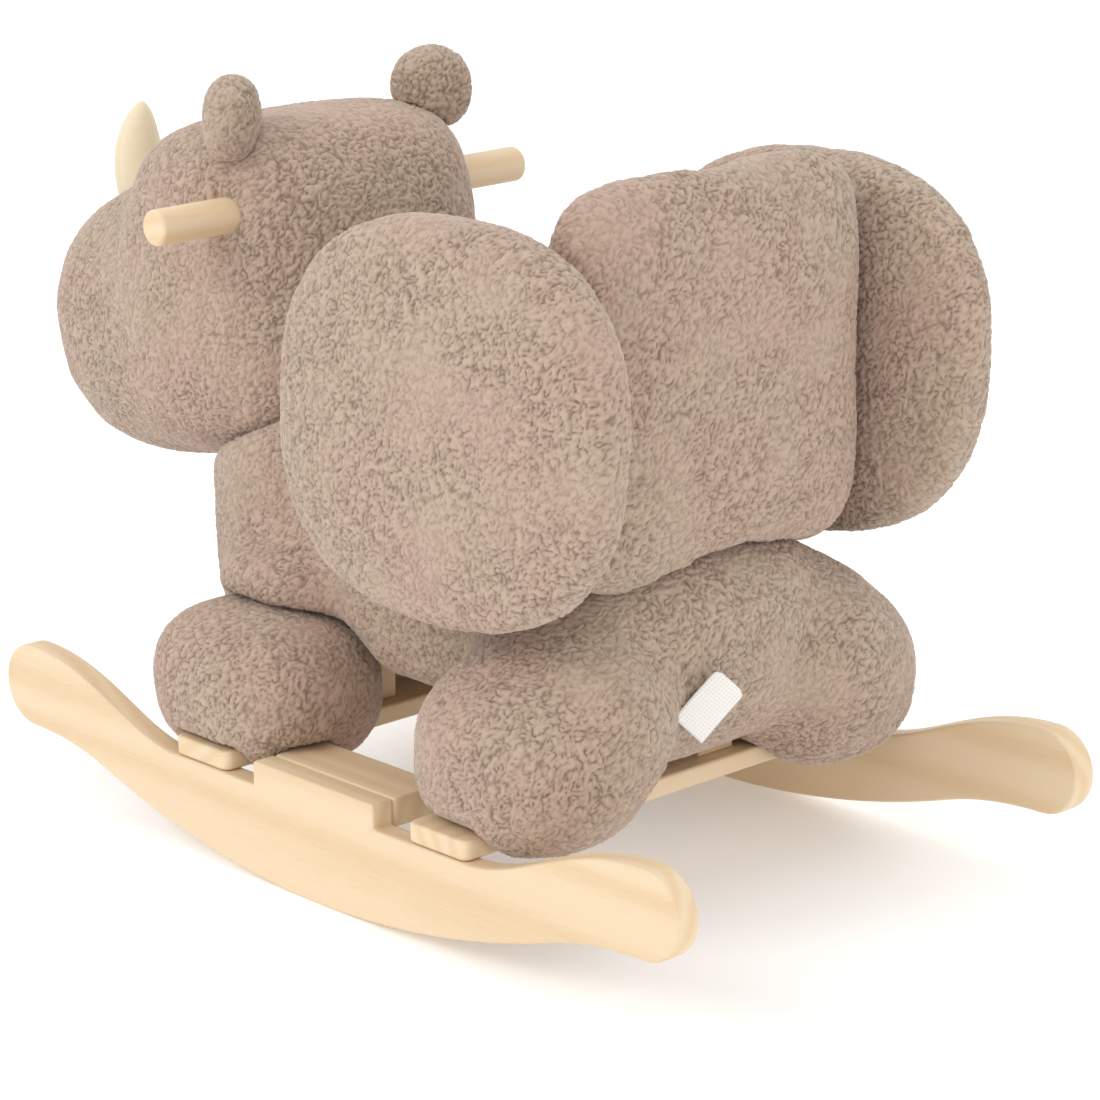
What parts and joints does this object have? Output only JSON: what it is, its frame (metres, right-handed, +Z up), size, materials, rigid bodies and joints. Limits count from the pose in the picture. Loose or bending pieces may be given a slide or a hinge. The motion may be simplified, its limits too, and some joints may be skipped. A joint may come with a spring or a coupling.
{
  "type": "plush rhinoceros rocker",
  "caption": "Toddler's rocker in the shape of a plush rhinoceros: wooden rockers, cross bars and handle, padded fleece seat with armrests and backrest.",
  "frame": {"origin": "on the floor, under the middle of the whole rocker's length and width", "axes": "+Z up, the animal faces -X, its left side is -Y"},
  "size_m": [0.7048, 0.34, 0.4539],
  "materials": {
    "pine": "light solid wood, sanded and clear oiled",
    "birch_plywood": "unfinished plywood, hidden under the padding",
    "teddy_fleece": "curly taupe teddy fleece with a short looped pile",
    "wool_felt": "cream felt, stuffed",
    "woven_tape": "plain off-white woven tape, no printing",
    "zinc_steel": "zinc-plated screws"
  },
  "bodies": {
    "root": {"armrest_board_left": "birch_plywood", "armrest_board_right": "birch_plywood", "armrest_left": "teddy_fleece", "armrest_rail_front": "pine", "armrest_rail_rear": "pine", "armrest_right": "teddy_fleece", "armrest_screw_front_left": "zinc_steel", "armrest_screw_front_right": "zinc_steel", "armrest_screw_rear_left": "zinc_steel", "armrest_screw_rear_right": "zinc_steel", "backrest": "teddy_fleece", "backrest_board": "birch_plywood", "backrest_screw_left": "zinc_steel", "backrest_screw_right": "zinc_steel", "bar_screw_front_left_1": "zinc_steel", "bar_screw_front_left_2": "zinc_steel", "bar_screw_front_right_1": "zinc_steel", "bar_screw_front_right_2": "zinc_steel", "bar_screw_rear_left_1": "zinc_steel", "bar_screw_rear_left_2": "zinc_steel", "bar_screw_rear_right_1": "zinc_steel", "bar_screw_rear_right_2": "zinc_steel", "body": "teddy_fleece", "cross_bar_front": "pine", "cross_bar_rear": "pine", "ear_left": "teddy_fleece", "ear_right": "teddy_fleece", "footrest_left": "pine", "footrest_right": "pine", "footrest_screw_front_left": "zinc_steel", "footrest_screw_front_right": "zinc_steel", "footrest_screw_rear_left": "zinc_steel", "footrest_screw_rear_right": "zinc_steel", "handle": "pine", "head": "teddy_fleece", "horn": "wool_felt", "label": "woven_tape", "leg_post_front_left": "pine", "leg_post_front_right": "pine", "leg_post_rear_left": "pine", "leg_post_rear_right": "pine", "neck_board": "birch_plywood", "paw_front_left": "teddy_fleece", "paw_front_right": "teddy_fleece", "paw_rear_left": "teddy_fleece", "paw_rear_right": "teddy_fleece", "post_screw_front_left": "zinc_steel", "post_screw_front_right": "zinc_steel", "post_screw_rear_left": "zinc_steel", "post_screw_rear_right": "zinc_steel", "rocker_left": "pine", "rocker_right": "pine", "seat_board": "birch_plywood", "seat_cushion": "teddy_fleece"}
  },
  "joints": []
}
